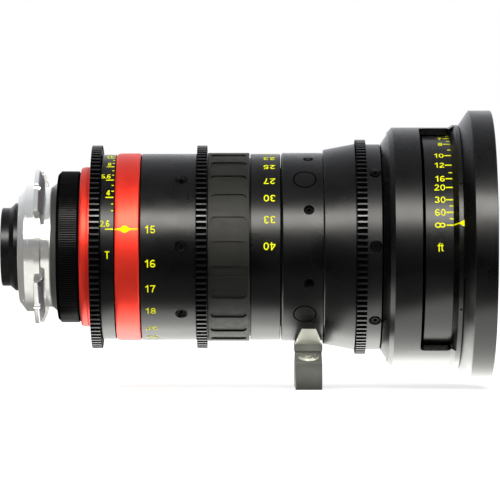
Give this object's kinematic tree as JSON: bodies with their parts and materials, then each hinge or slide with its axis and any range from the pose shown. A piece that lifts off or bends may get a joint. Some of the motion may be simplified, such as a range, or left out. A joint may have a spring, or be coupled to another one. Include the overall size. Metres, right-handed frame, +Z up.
{
  "type": "cinema zoom lens",
  "caption": "Cine zoom lens with geared iris, zoom and focus rings, a windowed distance scale, a bladed iris inside, a four-wing camera mount and a support foot.",
  "frame": {"origin": "centre of the camera mount's flange face, on the optical axis", "axes": "+X along the optical axis to the front of the lens, +Z up, -Y towards the side that carries the index marks"},
  "size_m": [0.2042, 0.114, 0.1161],
  "materials": {
    "mount_steel": "fine turned steel, bright",
    "screw_steel": "plated steel",
    "neck_aluminium": "satin grey anodised",
    "black_anodised": "satin black anodised",
    "gear_black": "black anodised, cut teeth",
    "red_anodised": "satin red anodised",
    "inner_black": "matt black anodised",
    "cam_aluminium": "plain turned aluminium",
    "brass": "turned brass",
    "blade_steel": "blued spring steel, matt",
    "grip_rubber": "moulded rubber, matt",
    "foot_grey": "satin dark grey anodised",
    "screw_black": "black oxide",
    "lens_glass": "polished and coated"
  },
  "bodies": {
    "barrel": {"lens_mount": "mount_steel", "mount_screws": "screw_steel", "rear_housing": "neck_aluminium", "lock_ring": "black_anodised", "rear_barrel": "black_anodised", "rear_elements": "lens_glass", "rear_retaining_ring": "black_anodised", "rear_trim_ring": "red_anodised", "main_barrel": "inner_black", "iris_base": "inner_black", "iris_retaining_ring": "inner_black", "index_ring": "red_anodised", "master_cell": "inner_black", "master_elements": "lens_glass", "support_ring": "black_anodised", "barrel_screws": "screw_black", "barrel_plugs": "black_anodised", "support_foot": "foot_grey", "foot_screws": "screw_steel", "focus_barrel": "inner_black", "front_cover": "black_anodised", "cover_screws": "screw_black", "front_barrel": "inner_black", "middle_elements": "lens_glass", "front_ring": "black_anodised", "front_element": "lens_glass", "front_retaining_ring": "black_anodised"},
    "iris_ring": {"iris_scale_ring": "black_anodised", "iris_gear": "gear_black", "iris_drive_pin": "screw_steel", "iris_cam_ring": "brass"},
    "iris_blade_1": {"iris_blade_1": "blade_steel"},
    "iris_blade_2": {"iris_blade_2": "blade_steel"},
    "iris_blade_3": {"iris_blade_3": "blade_steel"},
    "iris_blade_4": {"iris_blade_4": "blade_steel"},
    "iris_blade_5": {"iris_blade_5": "blade_steel"},
    "iris_blade_6": {"iris_blade_6": "blade_steel"},
    "iris_blade_7": {"iris_blade_7": "blade_steel"},
    "iris_blade_8": {"iris_blade_8": "blade_steel"},
    "iris_blade_9": {"iris_blade_9": "blade_steel"},
    "zoom_ring": {"zoom_ring": "black_anodised", "zoom_gear": "gear_black", "zoom_grip": "grip_rubber", "zoom_scale_ring": "black_anodised", "zoom_screws": "screw_black", "zoom_cam": "cam_aluminium"},
    "variator": {"variator_cell": "inner_black", "variator_elements": "lens_glass", "variator_rollers": "brass"},
    "compensator": {"compensator_cell": "inner_black", "compensator_elements": "lens_glass", "compensator_rollers": "brass"},
    "focus_ring": {"focus_ring": "black_anodised", "focus_gear": "gear_black", "focus_screws": "screw_black", "scale_drum": "black_anodised"},
    "focus_group": {"focus_cell": "inner_black", "focus_elements": "lens_glass", "focus_rollers": "brass"}
  },
  "joints": [
    {"name": "iris_turn", "type": "hinge", "parent": "barrel", "child": "iris_ring", "pos_m": [0.0275, 0, 0], "axis": [1, 0, 0], "range_deg": [0, 90]},
    {"name": "blade_1_swing", "type": "hinge", "parent": "barrel", "child": "iris_blade_1", "pos_m": [0.028, 0.024, 0], "axis": [1, 0, 0], "range_deg": [0, 28]},
    {"name": "blade_2_swing", "type": "hinge", "parent": "barrel", "child": "iris_blade_2", "pos_m": [0.028, 0.01839, 0.01543], "axis": [1, 0, 0], "range_deg": [0, 28]},
    {"name": "blade_3_swing", "type": "hinge", "parent": "barrel", "child": "iris_blade_3", "pos_m": [0.028, 0.00417, 0.02364], "axis": [1, 0, 0], "range_deg": [0, 28]},
    {"name": "blade_4_swing", "type": "hinge", "parent": "barrel", "child": "iris_blade_4", "pos_m": [0.028, -0.012, 0.02078], "axis": [1, 0, 0], "range_deg": [0, 28]},
    {"name": "blade_5_swing", "type": "hinge", "parent": "barrel", "child": "iris_blade_5", "pos_m": [0.028, -0.02255, 0.00821], "axis": [1, 0, 0], "range_deg": [0, 28]},
    {"name": "blade_6_swing", "type": "hinge", "parent": "barrel", "child": "iris_blade_6", "pos_m": [0.028, -0.02255, -0.00821], "axis": [1, 0, 0], "range_deg": [0, 28]},
    {"name": "blade_7_swing", "type": "hinge", "parent": "barrel", "child": "iris_blade_7", "pos_m": [0.028, -0.012, -0.02078], "axis": [1, 0, 0], "range_deg": [0, 28]},
    {"name": "blade_8_swing", "type": "hinge", "parent": "barrel", "child": "iris_blade_8", "pos_m": [0.028, 0.00417, -0.02364], "axis": [1, 0, 0], "range_deg": [0, 28]},
    {"name": "blade_9_swing", "type": "hinge", "parent": "barrel", "child": "iris_blade_9", "pos_m": [0.028, 0.01839, -0.01543], "axis": [1, 0, 0], "range_deg": [0, 28]},
    {"name": "zoom_turn", "type": "hinge", "parent": "barrel", "child": "zoom_ring", "pos_m": [0.072, 0, 0], "axis": [1, 0, 0], "range_deg": [-170, 0]},
    {"name": "variator_slide", "type": "slide", "parent": "barrel", "child": "variator", "axis": [1, 0, 0], "range_m": [-0.016, 0]},
    {"name": "compensator_slide", "type": "slide", "parent": "barrel", "child": "compensator", "axis": [1, 0, 0], "range_m": [0, 0.007]},
    {"name": "focus_turn", "type": "hinge", "parent": "barrel", "child": "focus_ring", "pos_m": [0.13, 0, 0], "axis": [1, 0, 0], "range_deg": [0, 320]},
    {"name": "focus_slide", "type": "slide", "parent": "barrel", "child": "focus_group", "axis": [1, 0, 0], "range_m": [0, 0.012]}
  ],
  "couplings": [
    {"joint": "blade_1_swing", "follows": "iris_turn", "ratio": 0.31111},
    {"joint": "blade_2_swing", "follows": "iris_turn", "ratio": 0.31111},
    {"joint": "blade_3_swing", "follows": "iris_turn", "ratio": 0.31111},
    {"joint": "blade_4_swing", "follows": "iris_turn", "ratio": 0.31111},
    {"joint": "blade_5_swing", "follows": "iris_turn", "ratio": 0.31111},
    {"joint": "blade_6_swing", "follows": "iris_turn", "ratio": 0.31111},
    {"joint": "blade_7_swing", "follows": "iris_turn", "ratio": 0.31111},
    {"joint": "blade_8_swing", "follows": "iris_turn", "ratio": 0.31111},
    {"joint": "blade_9_swing", "follows": "iris_turn", "ratio": 0.31111},
    {"joint": "variator_slide", "follows": "zoom_turn", "m_per_rad": 0.0053925},
    {"joint": "compensator_slide", "follows": "zoom_turn", "m_per_rad": -0.0023592},
    {"joint": "focus_slide", "follows": "focus_turn", "m_per_rad": 0.0021486}
  ]
}
